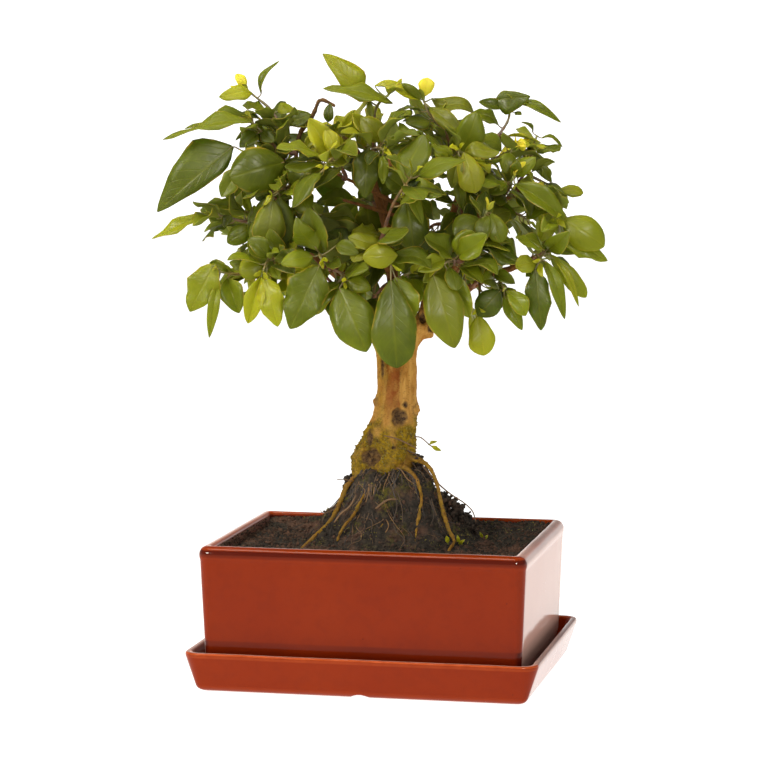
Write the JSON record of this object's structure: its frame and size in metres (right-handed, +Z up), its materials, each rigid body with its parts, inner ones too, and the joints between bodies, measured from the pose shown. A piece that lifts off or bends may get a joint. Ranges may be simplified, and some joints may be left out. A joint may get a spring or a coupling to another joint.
{
  "type": "indoor bonsai tree",
  "caption": "Small-leaved indoor bonsai with a fused trunk and an exposed root ball, in a rectangular glazed planter that stands on its own drip saucer.",
  "frame": {"origin": "middle of the saucer's footprint, on the surface that it stands on", "axes": "+X along the planter's long side, +Y towards its back (the picture is taken from -Y), +Z up"},
  "size_m": [0.2086, 0.1319, 0.2896],
  "materials": {
    "glaze": "gloss",
    "peat": "matte",
    "bark": "matte",
    "leaf": "satin",
    "mesh": "matte"
  },
  "bodies": {
    "root": {"saucer": "glaze", "pot": "glaze", "drain_mesh_1": "mesh", "drain_mesh_2": "mesh", "soil": "peat", "trunk": "bark", "spray_01": "leaf", "spray_02": "leaf", "spray_03": "leaf", "spray_04": "leaf", "spray_05": "leaf", "spray_06": "leaf", "spray_07": "leaf", "spray_08": "leaf", "spray_09": "leaf", "spray_10": "leaf", "spray_11": "leaf", "spray_12": "leaf", "spray_13": "leaf", "spray_14": "leaf", "spray_15": "leaf", "spray_16": "leaf", "spray_17": "leaf", "spray_18": "leaf", "spray_19": "leaf", "spray_20": "leaf", "spray_21": "leaf", "spray_22": "leaf", "spray_23": "leaf", "spray_24": "leaf", "spray_25": "leaf", "spray_26": "leaf", "spray_27": "leaf", "spray_28": "leaf", "spray_29": "leaf", "spray_30": "leaf", "spray_31": "leaf", "spray_32": "leaf", "spray_33": "leaf", "spray_34": "leaf", "spray_35": "leaf", "spray_36": "leaf", "spray_37": "leaf", "spray_38": "leaf", "spray_39": "leaf", "spray_40": "leaf", "spray_41": "leaf", "spray_42": "leaf", "spray_43": "leaf", "spray_44": "leaf", "spray_45": "leaf", "spray_46": "leaf", "spray_47": "leaf", "spray_48": "leaf", "spray_49": "leaf", "spray_50": "leaf", "spray_51": "leaf"}
  },
  "joints": []
}
